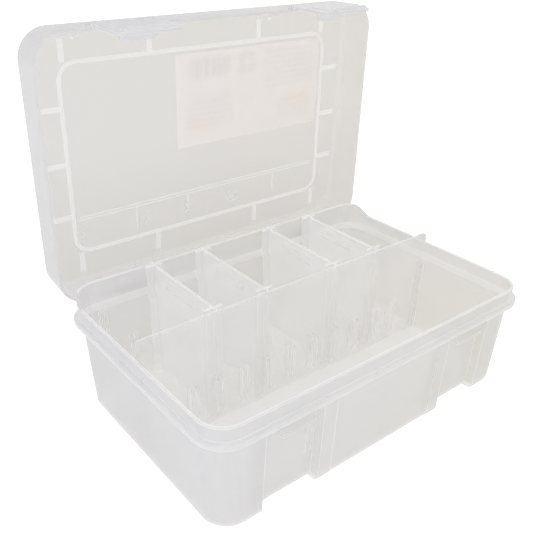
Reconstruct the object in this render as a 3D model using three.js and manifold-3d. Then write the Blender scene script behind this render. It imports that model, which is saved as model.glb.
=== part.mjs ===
// Fishing tackle box: clear moulded tub with a hinged lid, two latches and removable dividers.
// Millimetres, +Z up. Origin: centre of the tub's footprint, on the table. +X along the long side, -Y front.
import * as THREE from 'three';
import { mergeVertices } from 'three/addons/utils/BufferGeometryUtils.js';
import Module from 'manifold-3d';

const wasm = await Module();
wasm.setup();
const { Manifold } = wasm;

// ---- driving dimensions ----
const WALL = 1.8; // wall of the tub and its tongue
const FLOOR = 2.0;
const FOOT_W = 260; // tub outline at the table
const FOOT_D = 165.4;
const FOOT_R = 17;
const DRAFT = 7; // growth of the outline from the table to the flange
const FLANGE_LOW = 65.6;
const SEAT = 71.2; // top of the flange, where the lid rests
const FLANGE_W = 276.2;
const FLANGE_D = 181.6;
const FLANGE_R = 20.5;
const TONGUE_W = 270; // upright tongue inside the lid's skirt
const TONGUE_D = 175.4;
const TONGUE_R = 18;
const TONGUE_TOP = 80.4;
const REAR_TOP = 88.2; // raised panel along the back

const BAY_IN = 56.5; // latch bays in the front wall
const BAY_OUT = 99.4;
const BAY_DEPTH = 6.4;
const POST_IN = 46;
const POST_STEP = 1.0;
const U_X = [57.6, 63.2];
const U_Z = [24, 52];
const U_WIDE = 1.2;
const U_PROUD = 0.7;
const CATCH_X = [64.5, 90];
const CATCH_Z = 56.5;
const CATCH_FRONT = -88.3;

const SLOT_PITCH = 21.1; // guide slots for the dividers
const SLOT_FIRST = -113.05;
const SLOT_COUNT = 12;
const RIB = 1.4;
const RIB_DEPTH = 2.6;
const RIB_OFFSET = 2.1;
const RIB_TOP = 37;
const END_RIB_TOP = 64;

const LID_RIM = 71.5;
const LID_TOP = 100;
const LID_W = 276.2;
const LID_D = 182.4;
const LID_R = 20;
const LID_PLATE = 2.0;
const LID_OPEN = THREE.MathUtils.degToRad(88.7);
const FRAME_X = 112.5; // stacking frame bead inside the lid
const FRAME_Y = 66.5;
const FRAME_WIDE = 2.6;
const FRAME_HIGH = 1.6;

const HINGE_Y = 91.2;
const HINGE_Z = 71.5;
const HINGE_X = 82;
const KNUCKLE_R = 2.6;
const KNUCKLE_CLEAR = 3.05;
const LID_KNUCKLE = 11.6; // half length
const TUB_KNUCKLE = [12, 20]; // near and far end from the hinge centre
const BORE_R = 1.5;
const PIN_R = 1.2;
const PIN_HALF = 18.5;

const LATCH_X = 78.3;
const LATCH_Y = -91.5;
const LATCH_Z = 74;
const LATCH_HALF = 22;
const LATCH_LOW = 35.2;
const LATCH_THICK = 1.8;
const BARREL_R = 2.3;
const BARREL_HALF = 20;
const LUG_R = 2.5;
const LUG_END = 23.4;

const DIV_THICK = 1.8;
const DIV_Y = 2;
const DIV_LOW = FLOOR + 0.3;
const DIV_TOP = 89.2;
const CROSS_THICK = 1.6;
const CROSS_SLOTS = [2, 4, 7, 9];
const TEE_HALF = 6.8;
const TEE_THICK = 1.5;

// ---- materials ----
const finish = (color, roughness) => new THREE.MeshStandardMaterial({ color, roughness, metalness: 0 });
const tubPlastic = finish('#e4e2de', 0.32);
const lidPlastic = finish('#e6e5e4', 0.3);
const latchPlastic = finish('#ecebea', 0.3);
const dividerPlastic = finish('#dfddd8', 0.35);
const paper = finish('#e9dfd2', 0.8);
const pinMetal = new THREE.MeshStandardMaterial({ color: '#c9c9cb', roughness: 0.35, metalness: 0.9 });

// ---- shape helpers ----
function solid(geometry) {
  const g = geometry.index ? geometry.toNonIndexed() : geometry.clone();
  g.deleteAttribute('normal');
  g.deleteAttribute('uv');
  const merged = mergeVertices(g, 1e-4);
  return new Manifold(new wasm.Mesh({
    numProp: 3,
    vertProperties: new Float32Array(merged.attributes.position.array),
    triVerts: new Uint32Array(merged.index.array),
  }));
}

function join(parts) {
  return parts.reduce((sum, part) => sum.add(part));
}

function roundedRect(w, d, r) {
  const s = new THREE.Shape();
  const x = w / 2 - r;
  const y = d / 2 - r;
  s.moveTo(x + r, -y);
  s.absarc(x, y, r, 0, Math.PI / 2);
  s.absarc(-x, y, r, Math.PI / 2, Math.PI);
  s.absarc(-x, -y, r, Math.PI, Math.PI * 1.5);
  s.absarc(x, -y, r, Math.PI * 1.5, Math.PI * 2);
  return s;
}

// A rounded block whose outline follows [z, width, depth] levels.
function stack(levels, r, arc = 7) {
  const [, w0, d0] = levels[0];
  const steps = levels.length - 1;
  const g = new THREE.ExtrudeGeometry(roundedRect(w0, d0, r), {
    depth: steps, steps, bevelEnabled: false, curveSegments: arc,
  });
  const p = g.attributes.position;
  for (let i = 0; i < p.count; i += 1) {
    const [z, w, d] = levels[Math.round(p.getZ(i))];
    p.setXYZ(i, p.getX(i) * w / w0, p.getY(i) * d / d0, z);
  }
  return solid(g);
}

// Levels of [z, inset] along a quarter round: from z0 and a0 to z1 and a1, leaving level or upright first.
function round(z0, a0, z1, a1, levelFirst, steps = 4) {
  const out = [];
  for (let i = 1; i < steps; i += 1) {
    const t = (i / steps) * Math.PI / 2;
    const [u, v] = levelFirst ? [1 - Math.cos(t), Math.sin(t)] : [Math.sin(t), 1 - Math.cos(t)];
    out.push([z0 + (z1 - z0) * u, a0 + (a1 - a0) * v]);
  }
  return out;
}

function outline(points) {
  return new THREE.Shape(points.map(([a, b]) => new THREE.Vector2(a, b)));
}

// A YZ outline drawn out along X, from x0 to x1.
function alongX(points, x0, x1) {
  const g = new THREE.ExtrudeGeometry(outline(points), { depth: x1 - x0, bevelEnabled: false });
  const p = g.attributes.position;
  for (let i = 0; i < p.count; i += 1) {
    p.setXYZ(i, p.getZ(i) + x0, p.getX(i), p.getY(i));
  }
  return solid(g);
}

// An XZ outline drawn out along Y, from y0 to y1.
function alongY(shape, y0, y1) {
  const g = new THREE.ExtrudeGeometry(shape, { depth: y1 - y0, bevelEnabled: false, curveSegments: 5 });
  const p = g.attributes.position;
  for (let i = 0; i < p.count; i += 1) {
    p.setXYZ(i, p.getX(i), y1 - p.getZ(i), p.getY(i));
  }
  return solid(g);
}

function block(x0, x1, y0, y1, z0, z1) {
  const g = new THREE.BoxGeometry(x1 - x0, y1 - y0, z1 - z0);
  g.translate((x0 + x1) / 2, (y0 + y1) / 2, (z0 + z1) / 2);
  return solid(g);
}

function rod(r, x0, x1, y, z, sides = 20) {
  const g = new THREE.CylinderGeometry(r, r, x1 - x0, sides);
  g.rotateZ(Math.PI / 2);
  g.translate((x0 + x1) / 2, y, z);
  return solid(g);
}

function mesh(name, body, material, origin = [0, 0, 0]) {
  const out = body.getMesh();
  const g = new THREE.BufferGeometry();
  g.setAttribute('position', new THREE.BufferAttribute(new Float32Array(out.vertProperties), 3));
  g.setIndex(new THREE.BufferAttribute(new Uint32Array(out.triVerts), 1));
  g.translate(-origin[0], -origin[1], -origin[2]);
  g.computeVertexNormals();
  const m = new THREE.Mesh(g, material);
  m.name = name;
  return m;
}

const slotX = (k) => SLOT_FIRST + SLOT_PITCH * k;
const grow = (z) => DRAFT * z / SEAT;
const wallY = (z) => (FOOT_D + grow(z)) / 2 - WALL; // inner face of the rear wall
const wallX = (z) => (FOOT_W + grow(z)) / 2 - WALL; // inner face of a side wall
const innerTongueX = TONGUE_W / 2 - WALL;
const innerTongueY = TONGUE_D / 2 - WALL;
const STEP_LOW = 65; // inner ledge under the tongue
const STEP_HIGH = 68.6;

// ---- tub ----
function tubShell() {
  const inset = ([z, a]) => [z, FOOT_W + grow(z) - 2 * a, FOOT_D + grow(z) - 2 * a];
  const body = stack([[0, 3.5], ...round(0, 3.5, 4, 0, true, 5), [4, 0], [67, 0]].map(inset), FOOT_R, 9);
  const ring = ([z, a]) => [z, FLANGE_W - 2 * a, FLANGE_D - 2 * a];
  const flange = stack([
    [FLANGE_LOW, 3.4], [66.3, 1.4], ...round(66.3, 1.4, 68, 0, true), [68, 0], [70.2, 0],
    ...round(70.2, 0, SEAT, 1, false), [SEAT, 1],
  ].map(ring), FLANGE_R, 9);
  const edge = ([z, a]) => [z, TONGUE_W - 2 * a, TONGUE_D - 2 * a];
  const upright = (top) => stack([
    [SEAT - 2, 0], [top - 0.8, 0], ...round(top - 0.8, 0, top, 0.8, false), [top, 0.8],
  ].map(edge), TONGUE_R, 9);
  const tongue = upright(TONGUE_TOP);
  const rear = upright(REAR_TOP);
  const kept = alongX([
    [65, SEAT - 1], [100, SEAT - 1], [100, REAR_TOP + 1], [84.5, REAR_TOP + 1], [84, REAR_TOP],
    [82.4, 88], [80.8, 87.5], [79.2, 86.8], [77.6, 85.8], [76, 84.7], [74.4, 83.5], [72.8, 82.5],
    [71.2, 81.6], [69.6, 81], [67.6, 80.6], [65, TONGUE_TOP - 0.4],
  ], -150, 150);
  const cavity = stack([
    [FLOOR, 249.6, 155], [2.3, 252.4, 157.8], [3.1, 254.8, 160.2], [4.2, 256, 161.4],
    [5.6, 2 * wallX(5.6), 2 * wallY(5.6)],
    [STEP_LOW, 2 * wallX(STEP_LOW), 2 * wallY(STEP_LOW)],
    [STEP_HIGH, 2 * innerTongueX, 2 * innerTongueY], [REAR_TOP + 5, 2 * innerTongueX, 2 * innerTongueY],
  ], FOOT_R - WALL, 9);
  return { shell: join([body, flange, tongue, rear.intersect(kept)]), cavity };
}

// Front latch bay on the side s (-1 left, 1 right): the recess, and the same recess with its wall on.
function bay(s) {
  const face = (z) => -(FOOT_D + grow(z)) / 2 + BAY_DEPTH;
  const span = (a, b) => (s > 0 ? [a, b] : [-b, -a]);
  const recess = alongX([
    [-110, -2], [face(0) + 2.9, -2], [face(0) + 2.9, 0], [face(0) + 0.9, 1.2], [face(3), 3],
    [face(FLANGE_LOW), FLANGE_LOW], [-110, FLANGE_LOW],
  ], ...span(BAY_IN, BAY_OUT));
  const lined = alongX([
    [-110, -2], [face(0) + WALL, -2], [face(FLANGE_LOW) + WALL, FLANGE_LOW],
    [face(FLANGE_LOW) + WALL, FLANGE_LOW + WALL], [-110, FLANGE_LOW + WALL],
  ], ...span(BAY_IN - WALL, BAY_OUT + WALL));
  const deep = face(CATCH_Z) + 0.9;
  const ledge = alongX([
    [deep, CATCH_Z], [deep, CATCH_Z + 7], [deep - 5, CATCH_Z + 7],
    [CATCH_FRONT, CATCH_Z + 1.8], [CATCH_FRONT, CATCH_Z],
  ], ...span(...CATCH_X));
  const front = (z) => -(FOOT_D + grow(z)) / 2;
  const post = alongX([
    [front(1) + 3, 1.2], [front(3) + 4, 3], [front(66) + 3, 66],
    [front(66) - POST_STEP, 66], [front(4) - POST_STEP, 4], [front(2) + 0.4, 1.6],
  ], ...span(POST_IN, BAY_IN));
  // raised U on the bay's back wall, next to the post
  const strip = (x0, x1, z0, z1) => alongX([
    [face(z0) - U_PROUD, z0], [face(z0) + 0.5, z0], [face(z1) + 0.5, z1], [face(z1) - U_PROUD, z1],
  ], ...span(x0, x1));
  const mark = join([
    strip(U_X[0], U_X[0] + U_WIDE, ...U_Z), strip(U_X[1] - U_WIDE, U_X[1], ...U_Z),
    strip(...U_X, U_Z[0], U_Z[0] + U_WIDE),
  ]);
  return { recess, lined, ledge, post: post.add(mark) };
}

// Pairs of upright ribs that hold a divider's edge.
function guideRibs() {
  const ribs = [];
  const rearRib = (x, top) => alongX([
    [wallY(1.5) - RIB_DEPTH, 1.5], [wallY(1.5) + 0.8, 1.5], [wallY(top) + 0.8, top + 0.8],
    [wallY(top), top + 0.8], [wallY(top) - RIB_DEPTH, top - 1.2],
  ], x - RIB / 2, x + RIB / 2);
  for (let k = 0; k < SLOT_COUNT; k += 1) {
    const top = k === 0 || k === SLOT_COUNT - 1 ? END_RIB_TOP : RIB_TOP;
    ribs.push(rearRib(slotX(k) - RIB_OFFSET, top), rearRib(slotX(k) + RIB_OFFSET, top));
  }
  for (const s of [-1, 1]) {
    const side = outline([
      [s * (wallX(1.5) - RIB_DEPTH), 1.5], [s * (wallX(1.5) + 0.8), 1.5],
      [s * (wallX(END_RIB_TOP) + 0.8), END_RIB_TOP + 0.8], [s * wallX(END_RIB_TOP), END_RIB_TOP + 0.8],
      [s * (wallX(END_RIB_TOP) - RIB_DEPTH), END_RIB_TOP - 1.2],
    ]);
    for (const y of [DIV_Y - RIB_OFFSET, DIV_Y + RIB_OFFSET]) {
      ribs.push(alongY(side, y - RIB / 2, y + RIB / 2));
    }
  }
  return join(ribs);
}

function tub() {
  const { shell, cavity } = tubShell();
  const bays = [bay(-1), bay(1)];
  let hollow = cavity;
  let body = shell;
  for (const b of bays) {
    hollow = hollow.subtract(b.lined);
  }
  body = body.subtract(hollow);
  for (const b of bays) {
    body = body.subtract(b.recess).add(b.ledge).add(b.post);
  }
  body = body.add(guideRibs());
  for (const s of [-1, 1]) {
    const c = s * HINGE_X;
    const gap = TUB_KNUCKLE[0] - 0.1;
    body = body.subtract(rod(KNUCKLE_CLEAR, c - gap, c + gap, HINGE_Y, HINGE_Z));
    for (const e of [-1, 1]) {
      const ends = [c + e * TUB_KNUCKLE[0], c + e * TUB_KNUCKLE[1]].sort((a, b) => a - b);
      const knuckle = rod(KNUCKLE_R, ...ends, HINGE_Y, HINGE_Z);
      const foot = alongX([[88.2, 66.2], [90, 66.2], [93.2, 70], [91.2, 71.4], [88.6, 71]], ...ends);
      body = body.add(knuckle).add(foot);
    }
    body = body.subtract(rod(BORE_R, c - PIN_HALF - 0.4, c + PIN_HALF + 0.4, HINGE_Y, HINGE_Z, 16));
  }
  return body;
}

// ---- lid, drawn closed ----
function lidShell() {
  const ring = ([z, a]) => [z, LID_W - 2 * a, LID_D - 2 * a];
  const under = LID_TOP - LID_PLATE;
  const outer = stack([
    [LID_RIM, 0.5], [LID_RIM + 0.15, 0.2], [LID_RIM + 0.5, 0], [95.4, 0.8],
    ...round(95.4, 0.8, LID_TOP, 5.4, false, 7), [LID_TOP, 5.4],
  ].map(ring), LID_R, 9);
  const inner = stack([
    [LID_RIM - 1, 2], [95, 2.7], ...round(95, 2.7, under, 5.7, false, 5), [under, 5.7],
  ].map(ring), LID_R - 1.8, 9);
  return outer.subtract(inner);
}

function lidFrame() {
  const under = LID_TOP - LID_PLATE;
  const h = FRAME_WIDE / 2;
  const low = under - FRAME_HIGH;
  // Outline of the bead's outer (side 1) or inner (side -1) face; it narrows to a rounded crest.
  const face = (side, ends) => stack([
    ...ends, [low, h - 0.75], [low + 0.15, h - 0.4], [low + 0.5, h - 0.12], [low + 0.9, h], [under + 0.4, h],
  ].map(([z, a]) => [z, 2 * (FRAME_X + side * a), 2 * (FRAME_Y + side * a)]), 11.7 + side * h, 6);
  const [innerX, innerY] = [2 * (FRAME_X - h), 2 * (FRAME_Y - h)];
  const clear = stack([[under, innerX, innerY], [under + 2, innerX, innerY]], 11.7 - h, 6);
  const bead = face(1, []).subtract(face(-1, [[low - 1, h - 1.2]]).add(clear));
  const parts = [bead];
  const bar = 1.7;
  for (const sx of [-1, 1]) {
    for (const x of [46.5, 109.3]) {
      for (const sy of [-1, 1]) {
        const ys = [sy * (FRAME_Y + 0.6), sy * 85].sort((a, b) => a - b);
        parts.push(block(sx * x - bar, sx * x + bar, ...ys, under - 1.1, under + 0.4));
      }
    }
    for (const y of [-38, 0, 38]) {
      const xs = [sx * (FRAME_X + 0.6), sx * 131].sort((a, b) => a - b);
      parts.push(block(...xs, y - bar, y + bar, under - 1.1, under + 0.4));
    }
  }
  for (const [x, a, b] of [[-63.5, 42.4, 61], [-18.6, 42.4, 54], [65.3, 42.4, 58]]) {
    parts.push(block(x - 0.4, x + 0.4, a, b, under - 0.6, under + 0.4));
  }
  for (const y of [40.2, 42.4]) {
    parts.push(block(-108, 108, y - 0.35, y + 0.35, under - 0.6, under + 0.4));
  }
  for (const x of [56, 101]) {
    for (const s of [-1, 1]) {
      const gusset = [[-90, 78], [-90, under + 0.4], [-80, under + 0.4], [-88.4, 80]];
      parts.push(alongX(gusset, s * x - 0.7, s * x + 0.7));
    }
  }
  return parts;
}

function lid() {
  let body = join([lidShell(), ...lidFrame()]);
  for (const s of [-1, 1]) {
    const c = s * HINGE_X;
    for (const e of [-1, 1]) {
      const near = c + e * LID_KNUCKLE;
      const far = c + e * (TUB_KNUCKLE[1] + 0.4);
      const ends = [near, far].sort((a, b) => a - b);
      body = body.subtract(rod(KNUCKLE_CLEAR, ...ends, HINGE_Y, HINGE_Z));
    }
    body = body.add(rod(KNUCKLE_R, c - LID_KNUCKLE, c + LID_KNUCKLE, HINGE_Y, HINGE_Z));
    body = body.subtract(rod(BORE_R, c - LID_KNUCKLE - 1, c + LID_KNUCKLE + 1, HINGE_Y, HINGE_Z, 16));
    const m = s * LATCH_X;
    const half = BARREL_HALF + 0.4;
    body = body.subtract(block(m - half, m + half, -96, -88.4, LID_RIM - 1, LATCH_Z + BARREL_R + 0.5));
    for (const e of [-1, 1]) {
      const ends = [m + e * half, m + e * LUG_END].sort((a, b) => a - b);
      body = body.add(rod(LUG_R, ...ends, LATCH_Y, LATCH_Z));
    }
    body = body.subtract(rod(BORE_R, m - 22.6, m + 22.6, LATCH_Y, LATCH_Z, 16));
  }
  return body;
}

// ---- latch, drawn hooked and centred on x = 0 ----
function latch() {
  const w = LATCH_HALF;
  const r = 5;
  const s = new THREE.Shape();
  s.moveTo(-BARREL_HALF, LATCH_Z);
  s.lineTo(-BARREL_HALF, SEAT - 0.2);
  s.lineTo(-w, SEAT - 0.2);
  s.lineTo(-w, LATCH_LOW + r);
  s.absarc(-w + r, LATCH_LOW + r, r, Math.PI, Math.PI * 1.5);
  s.absarc(w - r, LATCH_LOW + r, r, Math.PI * 1.5, Math.PI * 2);
  s.lineTo(w, SEAT - 0.2);
  s.lineTo(BARREL_HALF, SEAT - 0.2);
  s.lineTo(BARREL_HALF, LATCH_Z);
  const back = LATCH_Y - 0.3;
  const front = back - LATCH_THICK;
  return join([
    alongY(s, front, back),
    rod(BARREL_R, -BARREL_HALF, BARREL_HALF, LATCH_Y, LATCH_Z),
    rod(PIN_R, -22.2, 22.2, LATCH_Y, LATCH_Z, 16),
    block(-16, w - 1.2, front - 0.9, front + 0.5, LATCH_LOW + 3.5, 57),
    alongX([
      [back - 0.5, 56], [back - 0.5, 48.6], [back + 0.4, 48.6], [-88, 50.8], [-84.6, 54.4], [-84.6, 56],
    ], -12, 12),
    alongX([
      [back - 0.4, 39], [back - 0.4, LATCH_LOW + 0.6], [front - 2.6, LATCH_LOW - 0.2],
      [front - 2.8, 36.4], [front + 0.2, 39],
    ], -16, 16),
  ]);
}

// ---- dividers ----
function longDivider() {
  const low = wallX(DIV_LOW) - 0.8;
  const step = wallX(STEP_LOW) - 0.8;
  const top = innerTongueX - 0.7;
  const r = 4;
  const s = new THREE.Shape();
  s.moveTo(-low + 3, DIV_LOW);
  s.lineTo(low - 3, DIV_LOW);
  s.lineTo(low, DIV_LOW + 3);
  s.lineTo(step, STEP_LOW);
  s.lineTo(top, STEP_HIGH + 0.6);
  s.lineTo(top, DIV_TOP - r);
  s.absarc(top - r, DIV_TOP - r, r, 0, Math.PI / 2);
  s.absarc(-top + r, DIV_TOP - r, r, Math.PI / 2, Math.PI);
  s.lineTo(-top, STEP_HIGH + 0.6);
  s.lineTo(-step, STEP_LOW);
  s.lineTo(-low, DIV_LOW + 3);
  const half = DIV_THICK / 2;
  const reach = half + RIB_DEPTH;
  const parts = [alongY(s, DIV_Y - half, DIV_Y + half)];
  for (let k = 1; k < SLOT_COUNT - 1; k += 1) {
    for (const x of [slotX(k) - RIB_OFFSET, slotX(k) + RIB_OFFSET]) {
      parts.push(block(x - RIB / 2, x + RIB / 2, DIV_Y - reach, DIV_Y + reach, 10, RIB_TOP));
    }
  }
  return join(parts);
}

function crossDivider(k) {
  const x = slotX(k);
  const near = DIV_Y + DIV_THICK / 2 + 0.4;
  const teeNear = near + RIB_DEPTH;
  const rear = (z, a) => wallY(z) - a;
  const web = alongX([
    [near, DIV_LOW], [rear(DIV_LOW, 3.4), DIV_LOW], [rear(5, 0.5), 5.5], [rear(STEP_LOW, 0.5), STEP_LOW],
    [innerTongueY - 0.6, STEP_HIGH + 0.6], [innerTongueY - 0.6, DIV_TOP - 3], [innerTongueY - 3.6, DIV_TOP],
    [near + 0.6, DIV_TOP], [near, DIV_TOP - 0.6],
  ], x - CROSS_THICK / 2, x + CROSS_THICK / 2);
  const teeFront = block(x - TEE_HALF, x + TEE_HALF, teeNear, teeNear + TEE_THICK, DIV_LOW, DIV_TOP + 0.6);
  const off = RIB_DEPTH + 0.4;
  const inner = off + TEE_THICK;
  const teeRear = alongX([
    [rear(DIV_LOW, inner), DIV_LOW], [rear(DIV_LOW, off), DIV_LOW], [rear(STEP_LOW, off), STEP_LOW],
    [innerTongueY - off, STEP_HIGH], [innerTongueY - off, DIV_TOP + 0.6], [innerTongueY - inner, DIV_TOP + 0.6],
    [innerTongueY - inner, STEP_HIGH + 0.6], [rear(STEP_LOW, inner), STEP_LOW + 0.6],
  ], x - TEE_HALF, x + TEE_HALF);
  return join([web, teeFront, teeRear]);
}

// ---- assembly ----
function assemble() {
  const box = new THREE.Group();
  box.name = 'tackle_box';
  box.add(mesh('base_tub', tub(), tubPlastic));
  box.add(mesh('long_divider', longDivider(), dividerPlastic));
  CROSS_SLOTS.forEach((k, i) => {
    box.add(mesh(`cross_divider_${i + 1}`, crossDivider(k), dividerPlastic));
  });

  const swing = new THREE.Group();
  swing.position.set(0, HINGE_Y, HINGE_Z);
  swing.rotation.x = -LID_OPEN;
  const axis = [0, HINGE_Y, HINGE_Z];
  swing.add(mesh('lid', lid(), lidPlastic, axis));
  const label = block(-24.4, 111.7, -62, 6.4, LID_TOP + 0.3, LID_TOP + 0.6);
  swing.add(mesh('paper_label', label, paper, axis));
  for (const [side, s] of [['left', -1], ['right', 1]]) {
    const plate = mesh(`latch_${side}`, latch(), latchPlastic, axis);
    plate.position.x = s * LATCH_X;
    swing.add(plate);
    const pin = rod(PIN_R, -PIN_HALF, PIN_HALF, 0, 0, 16);
    const pinMesh = mesh(`hinge_pin_${side}`, pin, pinMetal);
    pinMesh.position.set(s * HINGE_X, HINGE_Y, HINGE_Z);
    box.add(pinMesh);
  }
  box.add(swing);
  return box;
}

export default assemble();
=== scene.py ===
"""Clear moulded tackle box with its lid standing open, as an add-on panel with one button per piece."""

import math

import bmesh
import bpy
from mathutils import Matrix, Vector


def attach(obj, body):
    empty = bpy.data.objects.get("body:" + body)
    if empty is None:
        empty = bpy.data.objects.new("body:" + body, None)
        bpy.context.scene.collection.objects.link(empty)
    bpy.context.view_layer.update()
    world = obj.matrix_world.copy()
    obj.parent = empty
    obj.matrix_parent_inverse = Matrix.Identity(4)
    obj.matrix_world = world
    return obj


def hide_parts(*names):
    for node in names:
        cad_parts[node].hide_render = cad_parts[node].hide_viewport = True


bl_info = {
    "name": "Tackle Box",
    "version": (1, 0, 0),
    "blender": (4, 5, 0),
    "location": "View3D > Sidebar > Tackle Box",
    "description": "Builds a clear moulded tackle box on its packed frame",
    "category": "Object",
}

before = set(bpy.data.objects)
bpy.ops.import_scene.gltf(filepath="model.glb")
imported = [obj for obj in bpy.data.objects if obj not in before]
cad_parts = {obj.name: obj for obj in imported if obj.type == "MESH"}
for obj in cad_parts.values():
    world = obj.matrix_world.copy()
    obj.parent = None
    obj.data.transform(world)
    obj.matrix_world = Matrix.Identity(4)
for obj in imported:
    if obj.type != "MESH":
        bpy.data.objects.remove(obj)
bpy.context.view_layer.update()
MM = 0.001

# Places in metres, with the lid closed.
HINGE = Vector((0.0, 0.0912, 0.0715))
LID_OPEN = math.radians(88.7)
LID_UNDER = 0.098  # inner face of the lid's plate
LID_HALF_WIDTH = 0.138
LID_HALF_DEPTH = 0.091
DIVIDER_Y = 0.002  # middle of the long divider

# Sizes in millimetres.
FOOT_WIDTH = 260  # outline of the tub at the table
FOOT_DEPTH = 165.4
DRAFT = 7  # growth of that outline from the table to the seat
SEAT = 71.2  # top of the flange, where the lid rests
WALL = 1.8
STEP_LOW = 65  # the walls step outwards above this height
STEP_RISE = 3.6
RIM_REAR = 85.9  # inner face of the rear wall above the step
SLOT_FIRST = -113.05  # guide slots for the dividers
SLOT_PITCH = 21.1
CROSS_SLOTS = (2, 4, 7, 9)
GRIP_HEIGHTS = (83.2, 81.2, 79.2, 77.2)  # shallow lines near the top of a cross divider
RIB_WIDE = 1.4
RIB_OFFSET = 2.1  # from a slot's middle to each of its two ribs
RIB_LOW = 10
RIB_HIGH = 37
DIVIDER_LOW = 2.3
DIVIDER_HIGH = 89.2
PIN_EDGE = 0.15

# Places, in metres, between which a denser part of the plastic fades in or out.
BEAD_FADE = (0.0979, 0.0973)  # from the lid's plate to the crest of its bead and bars
SKIRT_FADE = (0.008, 0.010)  # distance inwards from the lid's skirt
CORNER_FADE = (0.0950, 0.0955)  # past the rounded corner under the lid's plate
FLANGE_LOW_FADE = (0.0652, 0.0662)
FLANGE_HIGH_FADE = (0.0708, 0.0714)
RIM_LOW_FADE = (0.0792, 0.0797)
RIM_HIGH_FADE = (0.0808, 0.0812)
RIM_END_FADE = (0.066, 0.069)  # along Y, where the rim meets the raised rear panel
REAR_TOP_FADE = (0.0868, 0.0874)
FOOT_FADE = (0.0015, 0.0055)
DIVIDER_TOP_FADE = (0.0884, 0.0890)
RIB_FADE = (0.0011, 0.0014)  # distance from the middle of the long divider

# Shading and modifiers.
EDGE_FADE = (0.995, 0.80)  # cosine between a face's own normal and its bevelled one
BEVEL_ANGLE = math.radians(32)
SMOOTH_ANGLE = math.radians(35)
FLATNESS = 60  # weight of the broad faces in the shading
EDGE_RAYS = 6
FLOOR_REACH = 6.0
FLOOR_DROP = 0.0004  # keeps the floor just clear of the tub's underside


# ---------------------------------------------------------------- sizes and colours

class TackleBoxPlastic(bpy.types.PropertyGroup):
    """How the clear moulded plastic looks."""

    clear: bpy.props.FloatProperty(
        name="Clearness", description="Share of light each face lets straight through",
        default=0.63, min=0.0, max=1.0, subtype="FACTOR")
    edge_white: bpy.props.FloatProperty(
        name="Edge whiteness", description="How much milkier a wall looks when seen along its length",
        default=0.85, min=0.0, max=1.0, subtype="FACTOR")
    # Painted light: this warm tint is mixed into the plastic low down, like warm light thrown up from the
    # table.
    warm: bpy.props.FloatVectorProperty(
        name="Warm tint", description="Colour of the plastic where it catches the table's warmth",
        default=(0.66, 0.642, 0.602), min=0.0, max=1.0, size=3, subtype="COLOR")
    # Painted light: this cool tint is mixed into the plastic high up and towards the left end, like cool
    # light from the left.
    cool: bpy.props.FloatVectorProperty(
        name="Cool tint", description="Colour of the plastic on its lit outer faces",
        default=(0.655, 0.655, 0.69), min=0.0, max=1.0, size=3, subtype="COLOR")
    white: bpy.props.FloatVectorProperty(
        name="Milk white", description="Colour of the plastic where it is thick or seen along its length",
        default=(0.84, 0.84, 0.85), min=0.0, max=1.0, size=3, subtype="COLOR")
    grazing: bpy.props.FloatVectorProperty(
        name="Grazing tint", description="Colour of a wall seen along its length",
        default=(0.555, 0.555, 0.58), min=0.0, max=1.0, size=3, subtype="COLOR")
    edge_glow: bpy.props.FloatProperty(
        name="Edge line", description="Width of the bright line along each edge",
        default=0.7 * MM, min=0.1 * MM, max=3.0 * MM, unit="LENGTH", precision=5)
    shade: bpy.props.FloatProperty(
        name="Shade", description="Share of the milkiness that holds light back inside the box",
        default=0.25, min=0.0, max=1.0, subtype="FACTOR")
    roughness: bpy.props.FloatProperty(
        name="Roughness", description="Softness of the plastic's reflections",
        default=0.24, min=0.0, max=1.0, subtype="FACTOR")
    edge_round: bpy.props.FloatProperty(
        name="Edge rounding", description="Radius put on the moulded edges",
        default=0.35 * MM, min=0.0, max=1.0 * MM, unit="LENGTH", precision=5)


class TackleBoxDivider(bpy.types.PropertyGroup):
    """Sizes of the dividers."""

    long_thick: bpy.props.FloatProperty(
        name="Long divider", description="Thickness of the lengthwise divider",
        default=1.8 * MM, min=1.0 * MM, max=3.0 * MM, unit="LENGTH", precision=5)
    cross_thick: bpy.props.FloatProperty(
        name="Cross divider", description="Thickness of a cross divider's web",
        default=1.6 * MM, min=1.0 * MM, max=3.0 * MM, unit="LENGTH", precision=5)
    tee_width: bpy.props.FloatProperty(
        name="Flange width", description="Width of the flange near each end of a cross divider",
        default=13.6 * MM, min=8.0 * MM, max=18.0 * MM, unit="LENGTH", precision=5)
    tee_thick: bpy.props.FloatProperty(
        name="Flange thickness", description="Thickness of a cross divider's flange",
        default=1.5 * MM, min=1.0 * MM, max=3.0 * MM, unit="LENGTH", precision=5)
    rib_depth: bpy.props.FloatProperty(
        name="Rib depth", description="How far the guide ribs stand out",
        default=2.6 * MM, min=1.0 * MM, max=4.0 * MM, unit="LENGTH", precision=5)


class TackleBoxLabel(bpy.types.PropertyGroup):
    """The paper label on the outside of the lid."""

    paper: bpy.props.FloatVectorProperty(
        name="Paper", description="Colour of the label's paper",
        default=(0.950, 0.925, 0.910), min=0.0, max=1.0, size=3, subtype="COLOR")
    ink: bpy.props.FloatVectorProperty(
        name="Ink", description="Colour of the printed bars and rules",
        default=(0.70, 0.67, 0.67), min=0.0, max=1.0, size=3, subtype="COLOR")
    blot: bpy.props.FloatVectorProperty(
        name="Second ink", description="Colour of the soft patches near the label's lower corners",
        default=(0.97, 0.83, 0.74), min=0.0, max=1.0, size=3, subtype="COLOR")


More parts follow.
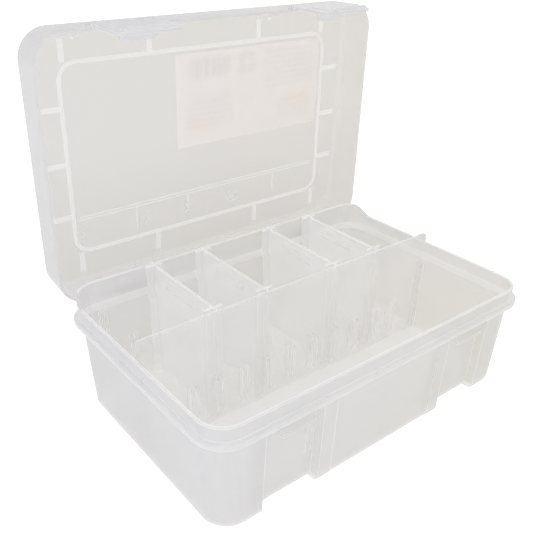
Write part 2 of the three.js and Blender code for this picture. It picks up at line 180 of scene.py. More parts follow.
class TackleBoxStage(bpy.types.PropertyGroup):
    """Floor, lights and camera."""

    sky: bpy.props.FloatProperty(
        name="Surround light", description="Strength of the even light from all round",
        default=0.90, min=0.0, max=5.0)
    key: bpy.props.FloatProperty(
        name="Key light", description="Power of the large soft light", default=5.0, min=0.0, max=200.0)
    fill: bpy.props.FloatProperty(
        name="Fill light", description="Power of the low side light", default=2.0, min=0.0, max=200.0)
    floor: bpy.props.FloatVectorProperty(
        name="Floor", description="Colour of the floor",
        default=(0.93, 0.93, 0.93), min=0.0, max=1.0, size=3, subtype="COLOR")
    # Painted shade: the floor's colour where the camera sees it through the box, darker and warmer than the
    # open floor.
    painted_shade_behind: bpy.props.FloatVectorProperty(
        name="Floor through plastic", description="Colour of the floor where it is seen through the box",
        default=(0.78, 0.75, 0.705), min=0.0, max=1.0, size=3, subtype="COLOR")
    # Painted shade: the same darker floor colour, cooler towards the left end of the box.
    behind_cool: bpy.props.FloatVectorProperty(
        name="Floor through plastic, left", description="The same colour at the left end of the box",
        default=(0.765, 0.755, 0.765), min=0.0, max=1.0, size=3, subtype="COLOR")
    lens: bpy.props.FloatProperty(
        name="Lens", description="Focal length of the camera in millimetres", default=47.1, min=10, max=300)


class TackleBoxSettings(bpy.types.PropertyGroup):
    """All the settings of the tackle box."""

    plastic: bpy.props.PointerProperty(type=TackleBoxPlastic)
    divider: bpy.props.PointerProperty(type=TackleBoxDivider)
    label: bpy.props.PointerProperty(type=TackleBoxLabel)
    stage: bpy.props.PointerProperty(type=TackleBoxStage)


# ---------------------------------------------------------------- node helpers

class Nodes:
    """Short calls for laying out a material's nodes from left to right."""

    def __init__(self, name):
        self.material = bpy.data.materials.new(name)
        self.material.use_nodes = True
        self.tree = self.material.node_tree
        self.tree.nodes.clear()
        self.out = self.tree.nodes.new("ShaderNodeOutputMaterial")
        coordinates = self.tree.nodes.new("ShaderNodeTexCoord")
        self.place = coordinates.outputs["Object"]

    def add(self, kind, inputs=None, **settings):
        node = self.tree.nodes.new("ShaderNode" + kind)
        for key, value in settings.items():
            setattr(node, key, value)
        for key, value in (inputs or {}).items():
            if isinstance(value, bpy.types.NodeSocket):
                self.tree.links.new(value, node.inputs[key])
            else:
                node.inputs[key].default_value = value
        return node

    def math(self, operation, a, b=0.0, clamp=False):
        return self.add("Math", {0: a, 1: b}, operation=operation, use_clamp=clamp).outputs[0]

    def remap(self, value, low, high, to_low, to_high):
        node = self.add("MapRange", {
            "Value": value, "From Min": low, "From Max": high, "To Min": to_low, "To Max": to_high,
        })
        return node.outputs["Result"]

    def noise(self, scale, detail=3.0, stretch=None):
        source = self.place
        if stretch:
            source = self.add("Mapping", {"Vector": source, "Scale": stretch}).outputs[0]
        return self.add("TexNoise", {"Vector": source, "Scale": scale, "Detail": detail}).outputs["Fac"]

    def blend(self, factor, a, b):
        node = self.add("Mix", {"Factor": factor}, data_type="RGBA")
        for socket, value in ((node.inputs[6], a), (node.inputs[7], b)):
            if isinstance(value, bpy.types.NodeSocket):
                self.tree.links.new(value, socket)
            else:
                socket.default_value = (*value[:3], 1.0)
        return node.outputs[2]

    def finish(self, shader):
        self.tree.links.new(shader, self.out.inputs["Surface"])
        return self.material


def closed_place(n):
    """X, Y and Z of a point on the lid as it lies when closed."""
    from_hinge = n.add("VectorMath", {0: n.place, 1: tuple(HINGE)}, operation="SUBTRACT").outputs[0]
    turn = {"Vector": from_hinge, "Rotation": (LID_OPEN, 0.0, 0.0), "Location": tuple(HINGE)}
    return n.add("SeparateXYZ", {"Vector": n.add("Mapping", turn).outputs[0]})


def thick_lid(n):
    """1 on the lid's bead and bars, less on its skirt, 0 on its thin plate."""
    place = closed_place(n)
    height = place.outputs["Z"]
    bead = n.remap(height, *BEAD_FADE, 0.0, 1.0)
    from_side = n.math("SUBTRACT", LID_HALF_WIDTH, n.math("ABSOLUTE", place.outputs["X"]))
    from_front = n.math("SUBTRACT", LID_HALF_DEPTH, n.math("ABSOLUTE", place.outputs["Y"]))
    inner = n.remap(n.math("MINIMUM", from_side, from_front), *SKIRT_FADE, 0.1, 1.0)
    inner = n.math("MULTIPLY", inner, n.remap(height, *CORNER_FADE, 0.1, 1.0))
    return n.math("MULTIPLY", bead, inner)


def thick_tub(n):
    """Up to 1 on the tub's flange, rim, rear top and foot, 0 on its thin walls."""
    place = n.add("SeparateXYZ", {"Vector": n.place})
    height = place.outputs["Z"]
    below = n.remap(height, *FLANGE_LOW_FADE, 0.0, 0.45)
    above = n.remap(height, *FLANGE_HIGH_FADE, 1.0, 0.0)
    flange = n.math("MULTIPLY", below, above)
    below = n.remap(height, *RIM_LOW_FADE, 0.0, 0.9)
    above = n.remap(height, *RIM_HIGH_FADE, 1.0, 0.0)
    rim = n.math("MULTIPLY", below, above)
    rim = n.math("MULTIPLY", rim, n.remap(place.outputs["Y"], *RIM_END_FADE, 1.0, 0.0))
    top = n.remap(height, *REAR_TOP_FADE, 0.0, 0.9)
    foot = n.remap(height, *FOOT_FADE, 0.6, 0.0)
    return n.math("MAXIMUM", n.math("MAXIMUM", flange, foot), n.math("MAXIMUM", rim, top))


def thick_divider(n):
    """1 along the top edge of a divider."""
    height = n.add("SeparateXYZ", {"Vector": n.place}).outputs["Z"]
    return n.remap(height, *DIVIDER_TOP_FADE, 0.0, 1.0)


def thick_ribs(n):
    """1 along the long divider's top edge, part of that on its ribs."""
    off = n.math("SUBTRACT", n.add("SeparateXYZ", {"Vector": n.place}).outputs["Y"], DIVIDER_Y)
    ribs = n.remap(n.math("ABSOLUTE", off), *RIB_FADE, 0.0, 0.6)
    return n.math("MAXIMUM", ribs, thick_divider(n))


def edges(n, reach):
    """1 along the edges and corners of a piece, 0 on its broad faces."""
    flat = n.add("NewGeometry").outputs["Normal"]
    soft = n.add("Bevel", {"Radius": reach}, samples=EDGE_RAYS).outputs[0]
    turn = n.add("VectorMath", {0: flat, 1: soft}, operation="DOT_PRODUCT").outputs["Value"]
    return n.remap(turn, *EDGE_FADE, 0.0, 1.0)


def clear_plastic(name, s, thick=None, milk=0.0, warmth=0.5, painted_fill_lift=0.0, line=1.0):
    """Milky see-through plastic, with painted warm and cool light in its tint.

    thick marks denser places, milk adds density, warmth picks the tint, painted_fill_lift lightens it
    as painted light against the shade inside the box, and line scales the width of the bright edges.
    """
    n = Nodes(name)
    split = n.add("SeparateXYZ", {"Vector": n.place})
    flow = n.noise(14.0, 1.5, stretch=(0.6, 1.0, 1.7))
    cloud = n.noise(9.0, 2.0)
    grain = n.noise(1900.0, 2.0)
    ripple = n.noise(70.0, 1.0, stretch=(1.0, 1.0, 0.35))

    # Painted light: the tint turns warmer low down and cooler high up and towards the left end; drift is
    # the plastic's own uneven tone and warmth its tone per piece.
    height = n.remap(split.outputs["Z"], 0.0, 0.09, 0.25, -0.10)
    drift = n.remap(cloud, 0.3, 0.7, -0.12, 0.12)
    painted_light_across = n.remap(split.outputs["X"], -0.13, 0.10, -0.30, 0.20)
    tint = n.math("ADD", n.math("ADD", height, drift), n.math("ADD", painted_light_across, warmth), clamp=True)
    colour = n.blend(painted_fill_lift, n.blend(tint, s.cool, s.warm), s.white)

    facing = n.math("POWER", n.add("LayerWeight", {"Blend": 0.45}).outputs["Facing"], 2.2)
    corner = edges(n, s.edge_glow * line)
    body = n.math("MAXIMUM", corner, thick(n)) if thick else corner
    pale = n.blend(n.math("MULTIPLY", facing, 0.9), colour, s.grazing)
    milky = n.blend(n.math("MULTIPLY", body, 0.8), pale, s.white)

    dense = n.remap(facing, 0.0, 1.0, 1.0 - s.clear + milk, s.edge_white)
    dense = n.math("ADD", dense, n.math("MULTIPLY", body, 0.25))
    dense = n.math("ADD", dense, n.remap(flow, 0.3, 0.7, -0.02, 0.02), clamp=True)
    seen = n.remap(n.add("LightPath").outputs["Is Camera Ray"], 0.0, 1.0, s.shade, 1.0)
    veil = n.math("MULTIPLY", dense, seen)

    height_map = n.math("ADD", n.math("MULTIPLY", grain, 0.06), ripple)
    relief = n.add("Bump", {"Strength": 0.05, "Distance": 0.0002, "Height": height_map}).outputs[0]
    rough = n.remap(grain, 0.3, 0.7, s.roughness - 0.04, s.roughness + 0.04)

    see = n.add("BsdfTransparent", {"Color": (0.985, 0.983, 0.978, 1.0)})
    front = n.add("BsdfDiffuse", {"Color": milky, "Normal": relief})
    back = n.add("BsdfTranslucent", {"Color": milky, "Normal": relief})
    both = n.add("MixShader", {0: 0.5, 1: front.outputs[0], 2: back.outputs[0]})
    layer = n.add("MixShader", {0: veil, 1: see.outputs[0], 2: both.outputs[0]})
    shine = n.add("BsdfGlossy", {"Color": (0.95, 0.95, 0.95, 1.0), "Roughness": rough, "Normal": relief})
    outside = n.remap(n.add("NewGeometry").outputs["Backfacing"], 0.0, 1.0, 0.45, 0.0)
    mirror = n.math("MULTIPLY", n.add("Fresnel", {"IOR": 1.45, "Normal": relief}).outputs[0], outside)
    gloss = n.add("MixShader", {0: mirror, 1: layer.outputs[0], 2: shine.outputs[0]})
    return n.finish(gloss.outputs[0])


# ---------------------------------------------------------------- shape helpers

def settings():
    return bpy.context.scene.tackle_box


def open_point(x, y, z):
    """A point of the closed lid, in metres, carried to where it lies with the lid open."""
    turn = Matrix.Rotation(-LID_OPEN, 3, "X")
    return HINGE + turn @ (Vector((x, y, z)) - HINGE)


def round_edges(node, radius):
    """Softens the edges of a CAD node with modifiers, leaving its own mesh as it is."""
    node.data.shade_smooth()
    weld = node.modifiers.new("join_corners", "WELD")
    weld.merge_threshold = 0.02 * MM
    soft = node.modifiers.new("soft_edges", "BEVEL")
    soft.width = radius
    soft.segments = 2
    soft.limit_method = "ANGLE"
    soft.angle_limit = BEVEL_ANGLE
    soft.use_clamp_overlap = True
    soft.harden_normals = False
    soft.miter_outer = "MITER_ARC"
    tidy = node.modifiers.new("even_shading", "WEIGHTED_NORMAL")
    tidy.keep_sharp = True
    tidy.weight = FLATNESS


def slot_x(k):
    """Centre of guide slot k, counted from the left."""
    return (SLOT_FIRST + SLOT_PITCH * k) * MM


def wall_x(z):
    """Inner face of a side wall at height z."""
    return (FOOT_WIDTH * MM + DRAFT * MM * z / (SEAT * MM)) / 2 - WALL * MM


def rear_y(z):
    """Inner face of the rear wall at height z, with the step under its rim."""
    wall = (FOOT_DEPTH * MM + DRAFT * MM * min(z, STEP_LOW * MM) / (SEAT * MM)) / 2 - WALL * MM
    rim = RIM_REAR * MM
    share = min(1.0, max(0.0, (z - STEP_LOW * MM) / (STEP_RISE * MM)))
    return wall + (rim - wall) * share


def shrink(ring, inset):
    """Moves a ring of 2D points inwards by inset."""
    if not inset:
        return list(ring)
    out = []
    count = len(ring)
    for i in range(count):
        before, here, after = (Vector(ring[(i + k) % count]) for k in (-1, 0, 1))
        a, b = (here - before).normalized(), (after - here).normalized()
        normal = Vector((-a.y - b.y, a.x + b.x))
        if normal.length < 1e-6:
            normal = Vector((-a.y, a.x))
        normal.normalize()
        spread = max(0.5, normal.dot(Vector((-a.y, a.x))))
        moved = here + normal * (inset / spread)
        out.append((moved.x, moved.y))
    return out


def fillet(ring, radius, steps=3):
    """Rounds the corners of a ring of 2D points."""
    out = []
    count = len(ring)
    for i in range(count):
        before, here, after = (Vector(ring[(i + k) % count]) for k in (-1, 0, 1))
        a, b = before - here, after - here
        reach = min(radius, a.length * 0.45, b.length * 0.45)
        start, end = here + a.normalized() * reach, here + b.normalized() * reach
        for k in range(steps + 1):
            t = k / steps
            p = start * (1 - t) ** 2 + here * (2 * t * (1 - t)) + end * t ** 2
            out.append((p.x, p.y))
    return out


def rounding(half, soft, steps=3):
    """Offsets and insets that round both edges of a plate 2 * half thick."""
    side = []
    for i in range(steps + 1):
        turn = math.pi / 2 * i / steps
        side.append((half - soft + soft * math.sin(turn), soft * (1 - math.cos(turn))))
    return [(-y, inset) for y, inset in reversed(side)] + side


def shade_evenly(piece):
    """Smooths a piece's shading up to 35 degrees, with the broad faces kept flat."""
    piece.data.shade_smooth()
    piece.data.set_sharp_from_angle(angle=SMOOTH_ANGLE)
    tidy = piece.modifiers.new("even_shading", "WEIGHTED_NORMAL")
    tidy.keep_sharp = True
    tidy.weight = FLATNESS


def link(name, maker):
    """Makes an object from a bmesh, with its faces turned outwards."""
    bmesh.ops.recalc_face_normals(maker, faces=maker.faces)
    mesh = bpy.data.meshes.new(name)
    maker.to_mesh(mesh)
    maker.free()
    piece = bpy.data.objects.new(name, mesh)
    bpy.context.scene.collection.objects.link(piece)
    shade_evenly(piece)
    return piece


def add_loft(maker, layers):
    """Joins rings of 3D points, with the same count in each, into one closed body."""
    rings = [[maker.verts.new(p) for p in layer] for layer in layers]
    count = len(rings[0])
    for lower, upper in zip(rings, rings[1:]):
        for i in range(count):
            j = (i + 1) % count
            maker.faces.new((lower[i], lower[j], upper[j], upper[i]))
    maker.faces.new(reversed(rings[0]))
    maker.faces.new(rings[-1])


def loft(name, layers):
    maker = bmesh.new()
    add_loft(maker, layers)
    return link(name, maker)


def pill(maker, x, y, width, depth, low, high, soft=0.4 * MM):
    """An upright bar with rounded edges and ends."""
    w, d = width / 2, depth / 2
    ring = fillet([(-w, -d), (w, -d), (w, d), (-w, d)], soft)
    layers = []
    for z, inset in ((low, soft * 0.55), (low + soft * 0.3, soft * 0.2), (low + soft, 0),
                     (high - soft, 0), (high - soft * 0.3, soft * 0.2), (high, soft * 0.55)):
        layers.append([(x + px, y + py, z) for px, py in shrink(ring, inset)])
    add_loft(maker, layers)


def grip(maker, x, half, start, end, z, rise):
    """A shallow bar lying along Y through a divider's web, standing out a little on both faces."""
    layers = []
    inner = half - rise * 0.4
    for px, inset in ((-half, rise * 0.6), (-inner, 0), (inner, 0), (half, rise * 0.6)):
        layers.append([(x + px, y, z + h) for y, h in (
            (start + inset, -rise + inset), (end - inset, -rise + inset),
            (end - inset, rise - inset), (start + inset, rise - inset))])
    add_loft(maker, layers)


def unite(piece, maker):
    """Adds the closed bodies of a bmesh to a piece."""
    other = link(piece.name + "_tool", maker)
    piece.modifiers.clear()
    change = piece.modifiers.new("unite", "BOOLEAN")
    change.operation = "UNION"
    change.solver = "MANIFOLD"
    change.object = other
    graph = bpy.context.evaluated_depsgraph_get()
    mesh = bpy.data.meshes.new_from_object(piece.evaluated_get(graph))
    piece.modifiers.clear()
    piece.data = mesh
    bpy.data.objects.remove(other)
    shade_evenly(piece)
    return piece


def dress(node, material):
    """Puts one material on all of an object."""
    node.data.materials.clear()
    node.data.materials.append(material)


# ---------------------------------------------------------------- operators

class TACKLEBOX_OT_tub(bpy.types.Operator):
    """Gives the tub its rounded edges and clear plastic"""

    bl_idname = "tackle_box.tub"
    bl_label = "Tub"

    def execute(self, context):
        s = settings().plastic
        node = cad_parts["base_tub"]
        round_edges(node, s.edge_round)
        dress(node, clear_plastic("tub_plastic", s, thick_tub, warmth=0.45))
        return {"FINISHED"}


class TACKLEBOX_OT_lid(bpy.types.Operator):
    """Gives the lid its rounded edges and clear plastic"""

    bl_idname = "tackle_box.lid"
    bl_label = "Lid"

    def execute(self, context):
        s = settings().plastic
        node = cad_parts["lid"]
        round_edges(node, s.edge_round)
        dress(node, clear_plastic("lid_plastic", s, thick_lid, milk=-0.10, warmth=0.55))
        return {"FINISHED"}


class TACKLEBOX_OT_latches(bpy.types.Operator):
    """Gives both latches rounded edges and milkier plastic"""

    bl_idname = "tackle_box.latches"
    bl_label = "Latches"

    def execute(self, context):
        s = settings().plastic
        material = clear_plastic("latch_plastic", s, milk=0.12, warmth=0.1)
        for name in ("latch_left", "latch_right"):
            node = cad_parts[name]
            round_edges(node, s.edge_round)
            dress(node, material)
        return {"FINISHED"}


class TACKLEBOX_OT_dividers(bpy.types.Operator):
    """Builds the long divider and the cross dividers with rounded edges"""

    bl_idname = "tackle_box.dividers"
    bl_label = "Dividers"

    def execute(self, context):
        s = settings()
        # Painted light: the dividers' plastic is lightened to offset the shade they stand in inside the
        # box.
        material = clear_plastic(
            "long_divider_plastic", s.plastic, thick_ribs, milk=-0.23, painted_fill_lift=0.5, line=0.4)
        self.finish_piece(self.long_divider(s.divider), "long_divider", material)
        material = clear_plastic(
            "cross_divider_plastic", s.plastic, thick_divider, milk=-0.05, painted_fill_lift=0.75, line=0.5)
        for i, k in enumerate(CROSS_SLOTS):
            name = "cross_divider_%d" % (i + 1)
            self.finish_piece(self.cross_divider(name, slot_x(k), s.divider), name, material)
        return {"FINISHED"}

    def finish_piece(self, piece, node, material):
        dress(piece, material)
        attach(piece, node)
        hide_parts(node)

    def long_divider(self, d):
        """A flat plate with rounded edges and pairs of short upright ribs on both faces."""
        half = d.long_thick / 2
        low, high, step = DIVIDER_LOW * MM, DIVIDER_HIGH * MM, STEP_LOW * MM
        points = [(wall_x(low) - 3.8 * MM, low), (wall_x(low) - 0.8 * MM, low + 3 * MM),
                  (wall_x(step) - 0.8 * MM, step), (132.5 * MM, 69.2 * MM)]
        corner = 4 * MM
        for i in range(7):
            turn = math.pi / 2 * i / 6
            points.append((
                132.5 * MM - corner + corner * math.cos(turn), high - corner + corner * math.sin(turn)))
        outline = points + [(-x, z) for x, z in reversed(points)]
        soft = 0.45 * MM
        layers = []
        for y, inset in rounding(half, soft):
            layers.append([(x, DIVIDER_Y + y, z) for x, z in shrink(outline, inset)])
        plate = loft("long_divider_look", layers)
        ribs = bmesh.new()
        for k in range(1, 11):
            for side in (-1, 1):
                x = slot_x(k) + side * RIB_OFFSET * MM
                depth = d.long_thick + 2 * d.rib_depth
                pill(ribs, x, DIVIDER_Y, RIB_WIDE * MM, depth, RIB_LOW * MM, RIB_HIGH * MM)
        return unite(plate, ribs)

    def cross_divider(self, name, x, d):
        """A web with an upright flange near each end, lofted up along the sloping rear wall."""
        half, tee, thick = d.cross_thick / 2, d.tee_width / 2, d.tee_thick
        near = DIVIDER_Y + d.long_thick / 2 + 0.4 * MM
        off = d.rib_depth + 0.4 * MM
        front = [(half, 0), (half, off), (tee, off), (tee, off + thick), (half, off + thick)]
        rear = [(half, -off - thick), (tee, -off - thick), (tee, -off), (half, -off), (half, 0)]
        layers = []
        for z, inset in ((2.3, 0.28), (2.45, 0.1), (2.8, 0), (5.5, 0), (65, 0), (68.8, 0),
                         (89.3, 0), (89.5, 0.05), (89.68, 0.14), (89.8, 0.28)):
            back = rear_y(z * MM) - 0.55 * MM
            tip = 2.9 * MM * max(0.0, 5.5 - z) / 3.2
            right = [(px, near + py) for px, py in front]
            right += [(px, back + py - (tip if py == 0 else 0.0)) for px, py in rear]
            ring = right + [(-px, py) for px, py in reversed(right)]
            layers.append([(x + px, py, z * MM) for px, py in shrink(fillet(ring, 0.6 * MM), inset * MM)])
        web = loft(name + "_look", layers)
        grips = bmesh.new()
        for z in GRIP_HEIGHTS:
            grip(grips, x, half + 0.32 * MM, 30 * MM, 64 * MM, z * MM, 0.45 * MM)
        return unite(web, grips)


class TACKLEBOX_OT_pins(bpy.types.Operator):
    """Gives the two hinge pins a drawn steel finish"""

    bl_idname = "tackle_box.pins"
    bl_label = "Hinge pins"

    def execute(self, context):
        n = Nodes("pin_steel")
        lines = n.noise(1600.0, 2.0, stretch=(0.04, 1.0, 1.0))
        rough = n.remap(lines, 0.3, 0.7, 0.25, 0.42)
        shade = n.blend(lines, (0.86, 0.86, 0.87), (0.95, 0.95, 0.96))
        relief = n.add("Bump", {"Strength": 0.2, "Distance": 0.00005, "Height": lines}).outputs[0]
        steel = n.add("BsdfPrincipled", {
            "Base Color": shade, "Metallic": 1.0, "Roughness": rough, "Normal": relief})
        material = n.finish(steel.outputs[0])
        for name in ("hinge_pin_left", "hinge_pin_right"):
            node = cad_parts[name]
            round_edges(node, PIN_EDGE * MM)
            dress(node, material)
        return {"FINISHED"}


class TACKLEBOX_OT_label(bpy.types.Operator):
    """Gives the paper label its paper and plain printed bars"""

    bl_idname = "tackle_box.label"
    bl_label = "Label"

    def execute(self, context):
        s = settings().label
        n = Nodes("label_paper")
        spot = closed_place(n)
        print_on = self.pattern(n, spot.outputs["X"], spot.outputs["Y"])
        strength = n.remap(spot.outputs["Z"], 0.1003, 0.1006, 0.30, 0.6)
        fibre = n.noise(500.0, 3.0)
        paper = n.blend(n.remap(fibre, 0.3, 0.7, 0.0, 1.0), s.paper, [c * 0.985 for c in s.paper])
        colour = n.blend(n.math("MULTIPLY", print_on, strength), paper, s.ink)
        blots = self.blots(n, spot.outputs["X"], spot.outputs["Y"])
        colour = n.blend(blots, colour, s.blot)
        relief = n.add("Bump", {"Strength": 0.15, "Distance": 0.0001, "Height": fibre}).outputs[0]
        front = n.add("BsdfDiffuse", {"Color": colour, "Normal": relief})
        back = n.add("BsdfTranslucent", {"Color": colour, "Normal": relief})
        mix = n.add("MixShader", {0: 0.5, 1: front.outputs[0], 2: back.outputs[0]})
        dress(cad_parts["paper_label"], n.finish(mix.outputs[0]))
        return {"FINISHED"}

    def window(self, n, x, y, left, right, low, high):
        """1 inside a rectangle given in millimetres, 0 outside it."""
        mask = n.math("GREATER_THAN", x, left * MM)
        sides = (("LESS_THAN", x, right), ("GREATER_THAN", y, low), ("LESS_THAN", y, high))
        for operation, value, limit in sides:
            mask = n.math("MULTIPLY", mask, n.math(operation, value, limit * MM))
        return mask

    def blots(self, n, x, y):
        """Faint soft patches of a second ink near the label's lower corners."""
        left = self.window(n, x, y, -13, 14, -15, -4)
        right = self.window(n, x, y, 84, 106, -24, -9)
        uneven = n.remap(n.noise(170.0, 2.0), 0.42, 0.62, 0.0, 0.4)
        return n.math("MULTIPLY", n.math("MAXIMUM", left, right), uneven)

    def pattern(self, n, x, y):
        """Upright bars of mixed widths, short dashes in rows and four plain rings."""
        stripes = n.add("TexNoise", {"W": n.math("MULTIPLY", x, 1000.0), "Scale": 0.55, "Detail": 1.0},
                        noise_dimensions="1D").outputs["Fac"]
        place = self.window(n, x, y, -14, 22, -57, -44)
        bars = n.math("MULTIPLY", n.math("GREATER_THAN", stripes, 0.5), place)
        row = n.math("DIVIDE", y, 4.4 * MM)
        band = n.math("LESS_THAN", n.math("FRACT", row), 0.36)
        shift = n.math("MULTIPLY", n.math("FLOOR", row), 37.7)
        dash = n.add("TexNoise", {"W": n.math("ADD", n.math("MULTIPLY", x, 1000.0), shift), "Scale": 0.35,
                                  "Detail": 2.0}, noise_dimensions="1D").outputs["Fac"]
        rows = n.math("MULTIPLY", band, n.math("GREATER_THAN", dash, 0.49))
        place = self.window(n, x, y, 54, 106, -57, -27)
        place = n.math("MAXIMUM", place, self.window(n, x, y, -16, 26, -30, -5))
        place = n.math("MAXIMUM", place, self.window(n, x, y, 70, 106, -20, -2))
        shown = n.math("MAXIMUM", bars, n.math("MULTIPLY", rows, place))
        for cx, cy in ((34, -54), (43, -54), (34, -46), (43, -46)):
            dx = n.math("SUBTRACT", x, cx * MM)
            dy = n.math("SUBTRACT", y, cy * MM)
            away = n.math("SQRT", n.math("ADD", n.math("MULTIPLY", dx, dx), n.math("MULTIPLY", dy, dy)))
            ring = n.math("LESS_THAN", n.math("ABSOLUTE", n.math("SUBTRACT", away, 2.4 * MM)), 0.7 * MM)
            shown = n.math("MAXIMUM", shown, ring)
        return shown


class TACKLEBOX_OT_marks(bpy.types.Operator):
    """Raises the small plain mould marks inside the lid"""

    bl_idname = "tackle_box.marks"
    bl_label = "Mould marks"

    def execute(self, context):
        s = settings().plastic
        maker = bmesh.new()
        self.ring(maker, 23.6, 54.2, 4.6, 0.9)
        self.ring(maker, 23.6, 54.2, 1.6, 0.8)
        self.ring(maker, -18.8, 57.6, 2.0, 0.8)
        self.ring(maker, -18.8, 53.0, 2.0, 0.8)
        for x, y in ((-57.2, 52.4), (-53.2, 52.4), (-109.4, 53), (-105, 53)):
            self.bar(maker, x, y, 0.9, 7)
        for x, y, width in ((-55.2, 49.4, 4.6), (-107.2, 49.9, 5), (-107.2, 56.1, 5)):
            self.bar(maker, x, y, width, 0.9)
        piece = link("mould_marks", maker)
        dress(piece, clear_plastic("mark_plastic", s, milk=0.25, warmth=0.4))
        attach(piece, "lid")
        return {"FINISHED"}

    def ring(self, maker, x, y, radius, width):
        """A raised ring with a rounded crest, on the inner face of the lid's plate."""
        sides = 40
        profile = [(-0.5, 0.04), (-0.5, -0.22), (-0.3, -0.4), (0.3, -0.4), (0.5, -0.22), (0.5, 0.04)]
        loops = []
        for i in range(sides):
            turn = 2 * math.pi * i / sides
            loops.append([maker.verts.new(open_point(
                (x + (radius + a * width) * math.cos(turn)) * MM,
                (y + (radius + a * width) * math.sin(turn)) * MM, LID_UNDER + h * MM)) for a, h in profile])
        for i, loop in enumerate(loops):
            after = loops[(i + 1) % sides]
            for k in range(len(profile)):
                m = (k + 1) % len(profile)
                maker.faces.new((loop[k], loop[m], after[m], after[k]))

    def bar(self, maker, x, y, width, depth):
        """A raised bar with rounded corners, on the inner face of the lid's plate."""
        w, d = width / 2, depth / 2
        ring = fillet([(-w, -d), (w, -d), (w, d), (-w, d)], 0.42)
        layers = []
        for h, inset in ((-0.4, 0.16), (-0.26, 0.02), (0.04, 0.0)):
            layers.append([open_point((x + px) * MM, (y + py) * MM, LID_UNDER + h * MM)
                           for px, py in shrink(ring, inset)])
        add_loft(maker, layers)


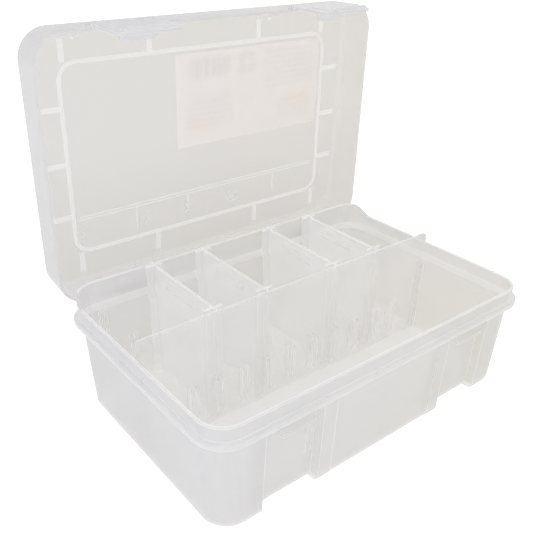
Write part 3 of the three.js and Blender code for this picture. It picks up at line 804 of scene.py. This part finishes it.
class TACKLEBOX_OT_stage(bpy.types.Operator):
    """Adds the floor with painted shade where it is seen through the box, the soft lights, the surround and
    the camera
    """

    bl_idname = "tackle_box.stage"
    bl_label = "Stage"

    def execute(self, context):
        s = settings().stage
        scene = context.scene
        scene.view_settings.view_transform = "Standard"
        scene.cycles.transparent_max_bounces = 40
        scene.cycles.max_bounces = 10
        self.floor(s)
        self.surround(scene, s)
        self.lamp("key", (-0.9, -0.7, 1.5), 1.3, s.key, (1.0, 0.99, 0.97))
        self.lamp("fill", (-1.1, -1.0, 0.35), 0.9, s.fill, (0.93, 0.96, 1.0))
        self.lamp("rim", (1.0, 0.9, 1.0), 1.0, s.fill, (1.0, 0.97, 0.93))
        self.camera(scene, s)
        return {"FINISHED"}

    def floor(self, s):
        mesh = bpy.data.meshes.new("floor")
        maker = bmesh.new()
        bmesh.ops.create_grid(maker, x_segments=8, y_segments=8, size=FLOOR_REACH)
        maker.to_mesh(mesh)
        maker.free()
        floor = bpy.data.objects.new("floor", mesh)
        floor.location.z = -FLOOR_DROP
        bpy.context.scene.collection.objects.link(floor)
        n = Nodes("floor_paper")
        speck = n.noise(60.0, 3.0)
        colour = n.blend(n.remap(speck, 0.3, 0.7, 0.0, 1.0), s.floor, [c * 0.99 for c in s.floor])
        matt = n.add("BsdfDiffuse", {"Color": colour})
        glow = n.add("Emission", {"Color": colour, "Strength": 0.45})
        both = n.add("AddShader", {0: matt.outputs[0], 1: glow.outputs[0]})
        place = n.add("SeparateXYZ", {"Vector": n.place})
        # Painted shade on the floor where the camera sees it through the box: a darker tint, cooler towards
        # the left end.
        right = n.remap(place.outputs["X"], -0.16, 0.06, 0.0, 1.0)
        rear = n.remap(place.outputs["Y"], -0.05, 0.10, 0.0, 1.0)
        tint = n.blend(n.math("MAXIMUM", right, rear), s.behind_cool, s.painted_shade_behind)
        # Painted shadow: darkest just behind the box, then lighter again further back.
        under = n.remap(place.outputs["Y"], 0.09, 0.11, 1.0, 0.85)
        clear = n.remap(place.outputs["Y"], 0.20, 0.60, 0.0, 0.13)
        painted_shade_behind = n.add("Emission", {"Color": tint, "Strength": n.math("ADD", under, clear)})
        through = n.math("GREATER_THAN", n.add("LightPath").outputs["Transparent Depth"], 0.5)
        through = n.math("MULTIPLY", through, n.add("LightPath").outputs["Is Camera Ray"])
        seen = n.add("MixShader", {0: through, 1: both.outputs[0], 2: painted_shade_behind.outputs[0]})
        floor.data.materials.append(n.finish(seen.outputs[0]))

    def surround(self, scene, s):
        world = bpy.data.worlds.new("surround")
        world.use_nodes = True
        back = world.node_tree.nodes["Background"]
        back.inputs["Color"].default_value = (1.0, 1.0, 1.0, 1.0)
        back.inputs["Strength"].default_value = s.sky
        scene.world = world

    def lamp(self, name, place, size, power, colour):
        data = bpy.data.lights.new(name, "AREA")
        data.shape = "DISK"
        data.size = size
        data.energy = power
        data.color = colour
        lamp = bpy.data.objects.new(name, data)
        lamp.location = place
        aim = Vector((0.0, 0.0, 0.1)) - Vector(place)
        lamp.rotation_euler = aim.to_track_quat("-Z", "Y").to_euler()
        bpy.context.scene.collection.objects.link(lamp)

    def camera(self, scene, s):
        place = (-0.28689, -0.31532, 0.32001)
        yaw, pitch, roll = (math.radians(a) for a in (38.857, -27.411, 1.062))
        ahead = Vector((math.sin(yaw) * math.cos(pitch), math.cos(yaw) * math.cos(pitch), math.sin(pitch)))
        side = Vector((math.cos(yaw), -math.sin(yaw), 0.0))
        up = side.cross(ahead)
        right = math.cos(roll) * side + math.sin(roll) * up
        top = math.cos(roll) * up - math.sin(roll) * side
        turn = Matrix((right, top, -ahead)).transposed().to_4x4()
        data = bpy.data.cameras.new("camera")
        data.lens = s.lens
        data.sensor_width = 36.0
        data.clip_start = 0.01
        camera = bpy.data.objects.new("camera", data)
        camera.matrix_world = Matrix.Translation(place) @ turn
        scene.collection.objects.link(camera)
        scene.camera = camera


# ---------------------------------------------------------------- panel

STEPS = ("tub", "lid", "latches", "dividers", "pins", "label", "marks", "stage")


class TACKLEBOX_PT_panel(bpy.types.Panel):
    """Settings and buttons of the tackle box"""

    bl_label = "Tackle Box"
    bl_space_type = "VIEW_3D"
    bl_region_type = "UI"
    bl_category = "Tackle Box"

    def draw(self, context):
        s = context.scene.tackle_box
        for group in (s.plastic, s.divider, s.label, s.stage):
            box = self.layout.box()
            for name in group.bl_rna.properties.keys():
                if name not in ("rna_type", "name"):
                    box.prop(group, name)
        for step in STEPS:
            self.layout.operator("tackle_box." + step)


CLASSES = (
    TackleBoxPlastic, TackleBoxDivider, TackleBoxLabel, TackleBoxStage, TackleBoxSettings,
    TACKLEBOX_OT_tub, TACKLEBOX_OT_lid, TACKLEBOX_OT_latches, TACKLEBOX_OT_dividers,
    TACKLEBOX_OT_pins, TACKLEBOX_OT_label, TACKLEBOX_OT_marks, TACKLEBOX_OT_stage, TACKLEBOX_PT_panel,
)


def register():
    for cls in CLASSES:
        bpy.utils.register_class(cls)
    bpy.types.Scene.tackle_box = bpy.props.PointerProperty(type=TackleBoxSettings)


def unregister():
    del bpy.types.Scene.tackle_box
    for cls in reversed(CLASSES):
        bpy.utils.unregister_class(cls)


def main():
    register()
    for step in STEPS:
        getattr(bpy.ops.tackle_box, step)()


if __name__ == "__main__":
    main()
